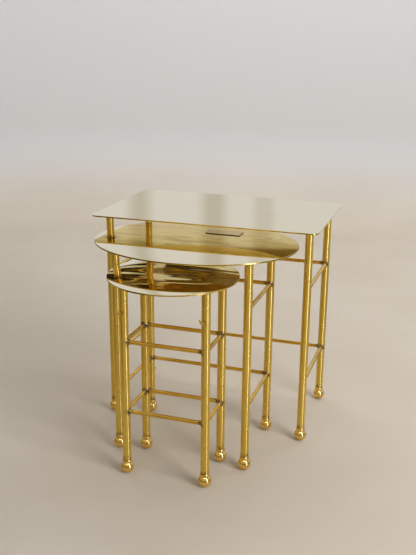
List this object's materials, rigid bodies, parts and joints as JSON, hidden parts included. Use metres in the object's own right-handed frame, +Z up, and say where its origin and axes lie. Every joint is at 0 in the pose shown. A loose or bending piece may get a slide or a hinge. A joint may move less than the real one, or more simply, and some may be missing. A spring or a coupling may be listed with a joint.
{
  "type": "nesting tables",
  "caption": "Nest of polished brass side tables with rectangular, oval and round tops, on slim tube legs with thin crossbars and ball feet.",
  "frame": {"origin": "on the floor plane, at the centre of the whole nest's bounding box with the tables drawn out as stored", "axes": "+Z up; +Y towards the back of the nest, which is the longest extent (the smaller tables are drawn out towards -Y); +X to the right seen from the front; the height along Z is the shortest extent"},
  "size_m": [0.47, 0.559, 0.455],
  "materials": {
    "mirror_brass": "mirror polished sheet with faint wipe marks",
    "tube_brass": "polished drawn tube, lightly tarnished",
    "rod_brass": "polished rod, darker, dull grey-brown at the brazed joints",
    "turned_brass": "turned and mirror polished",
    "plate_brass": "satin, blank",
    "hidden_brass": "plain machined"
  },
  "bodies": {
    "large_table": {"large_bar_lower_back": "rod_brass", "large_bar_lower_left": "rod_brass", "large_bar_lower_right": "rod_brass", "large_bar_upper_back": "rod_brass", "large_bar_upper_left": "rod_brass", "large_bar_upper_right": "rod_brass", "large_foot_back_left": "turned_brass", "large_foot_back_right": "turned_brass", "large_foot_front_left": "turned_brass", "large_foot_front_right": "turned_brass", "large_foot_studs": "hidden_brass", "large_label_plate": "plate_brass", "large_leg_back_left": "tube_brass", "large_leg_back_right": "tube_brass", "large_leg_front_left": "tube_brass", "large_leg_front_right": "tube_brass", "large_top": "mirror_brass", "large_tube_plugs": "hidden_brass"},
    "middle_table": {"middle_bar_lower_back": "rod_brass", "middle_bar_lower_left": "rod_brass", "middle_bar_lower_right": "rod_brass", "middle_bar_upper_back": "rod_brass", "middle_bar_upper_left": "rod_brass", "middle_bar_upper_right": "rod_brass", "middle_foot_back_left": "turned_brass", "middle_foot_back_right": "turned_brass", "middle_foot_front_left": "turned_brass", "middle_foot_front_right": "turned_brass", "middle_foot_studs": "hidden_brass", "middle_leg_back_left": "tube_brass", "middle_leg_back_right": "tube_brass", "middle_leg_front_left": "tube_brass", "middle_leg_front_right": "tube_brass", "middle_top": "mirror_brass", "middle_tube_plugs": "hidden_brass"},
    "small_table": {"small_bar_lower_back": "rod_brass", "small_bar_lower_front": "rod_brass", "small_bar_lower_left": "rod_brass", "small_bar_lower_right": "rod_brass", "small_bar_upper_back": "rod_brass", "small_bar_upper_front": "rod_brass", "small_bar_upper_left": "rod_brass", "small_bar_upper_right": "rod_brass", "small_foot_back_left": "turned_brass", "small_foot_back_right": "turned_brass", "small_foot_front_left": "turned_brass", "small_foot_front_right": "turned_brass", "small_foot_studs": "hidden_brass", "small_leg_back_left": "tube_brass", "small_leg_back_right": "tube_brass", "small_leg_front_left": "tube_brass", "small_leg_front_right": "tube_brass", "small_peg_left": "rod_brass", "small_peg_right": "rod_brass", "small_top": "mirror_brass", "small_tube_plugs": "hidden_brass"}
  },
  "joints": [
    {"name": "middle_table_slide", "type": "slide", "parent": "large_table", "child": "middle_table", "axis": [0, 1, 0], "range_m": [-0.152, 0.1745]},
    {"name": "small_table_slide", "type": "slide", "parent": "middle_table", "child": "small_table", "axis": [0, 1, 0], "range_m": [-0.17, 0.145]}
  ]
}
